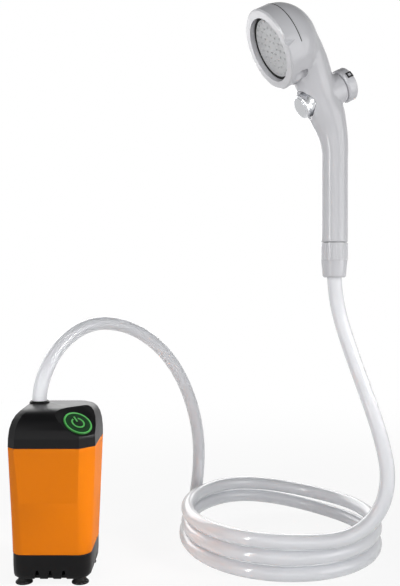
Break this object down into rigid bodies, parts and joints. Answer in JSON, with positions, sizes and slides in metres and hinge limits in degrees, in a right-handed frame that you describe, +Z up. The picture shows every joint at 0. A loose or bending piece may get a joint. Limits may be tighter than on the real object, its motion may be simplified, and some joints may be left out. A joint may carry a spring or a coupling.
{
  "type": "portable shower pump set",
  "caption": "Battery shower set: boxy submersible pump with a lit button on its corner, a coiled milky hose and a bent hand shower with push button and flow knob.",
  "frame": {"origin": "on the floor, midway between the pump's four suction feet", "axes": "+Z up; -Y out of the pump's flat front; +X from the pump towards the coil and the handset"},
  "size_m": [0.3117, 0.2109, 0.461],
  "materials": {
    "shell_orange": "smooth, semi-gloss",
    "cap_black": "satin",
    "light_green": "lit from inside",
    "rubber_black": "matte",
    "board_green": "solder mask",
    "steel": "plain",
    "brass": "plain",
    "chrome": "polished",
    "white_gloss": "glossy",
    "grey_plastic": "plain",
    "cell_wrap": "film wrap",
    "filter_foam": "open foam",
    "hose_milky": "milky, glossy",
    "spray_metal": "plain",
    "mark_grey": "satin"
  },
  "bodies": {
    "pump": {"main_shell": "shell_orange", "top_cap": "cap_black", "cap_seal": "rubber_black", "button_light": "light_green", "button_gasket": "rubber_black", "push_switch": "steel", "switch_bracket": "grey_plastic", "control_board": "board_green", "charge_socket": "steel", "port_pin": "steel", "outlet_collar": "cap_black", "outlet_spigot": "cap_black", "riser_pipe": "grey_plastic", "inner_frame": "grey_plastic", "battery_cells": "cell_wrap", "motor_can": "steel", "motor_bell": "cap_black", "shaft_bush": "brass", "shaft_seal": "rubber_black", "pump_chamber": "grey_plastic", "chamber_lid": "grey_plastic", "intake_filter": "filter_foam", "base_cover": "cap_black", "base_seal": "rubber_black", "base_screws": "steel", "suction_feet": "rubber_black", "hose_arch": "hose_milky", "hose_coil": "hose_milky", "hose_riser": "hose_milky", "hose_insert": "brass"},
    "power_button": {"power_button": "cap_black", "power_symbol": "light_green"},
    "rotor": {"rotor_shaft": "steel", "impeller": "white_gloss"},
    "port_flap": {"port_cover": "rubber_black"},
    "handset": {"hose_nut": "white_gloss", "nut_washer": "rubber_black", "inlet_tail": "brass", "handset_shell": "white_gloss", "face_ring": "white_gloss", "spray_plate": "spray_metal", "plate_seal": "rubber_black", "flow_disc": "grey_plastic", "button_spring": "steel"},
    "mode_button": {"mode_button": "chrome", "button_disc": "white_gloss", "button_spool": "brass"},
    "flow_knob": {"flow_knob": "white_gloss", "knob_pointer": "mark_grey", "knob_spindle": "brass", "knob_screw": "steel"}
  },
  "joints": [
    {"name": "power_press", "type": "slide", "parent": "pump", "child": "power_button", "axis": [-0.4156, 0.4156, -0.809], "range_m": [0, 0.0012], "stiffness_N_per_m": 800, "springref_m": -0.001},
    {"name": "rotor_spin", "type": "hinge", "parent": "pump", "child": "rotor", "pos_m": [0, 0, 0.04], "axis": [0, 0, 1], "continuous": true},
    {"name": "port_flap_turn", "type": "hinge", "parent": "pump", "child": "port_flap", "pos_m": [0, 0.03245, 0.1102], "axis": [-1, 0, 0], "range_deg": [0, 110]},
    {"name": "handset_swivel", "type": "hinge", "parent": "pump", "child": "handset", "pos_m": [0.2275, 0.015, 0.268], "axis": [0, 0, 1], "continuous": true},
    {"name": "mode_press", "type": "slide", "parent": "handset", "child": "mode_button", "axis": [0.8521, 0.2605, 0.454], "range_m": [0, 0.003], "stiffness_N_per_m": 600, "springref_m": -0.002, "deforming": ["button_spring"]},
    {"name": "flow_turn", "type": "hinge", "parent": "handset", "child": "flow_knob", "pos_m": [0.21195, 0.01025, 0.38631], "axis": [-0.8521, -0.2605, -0.454], "range_deg": [0, 90]}
  ]
}
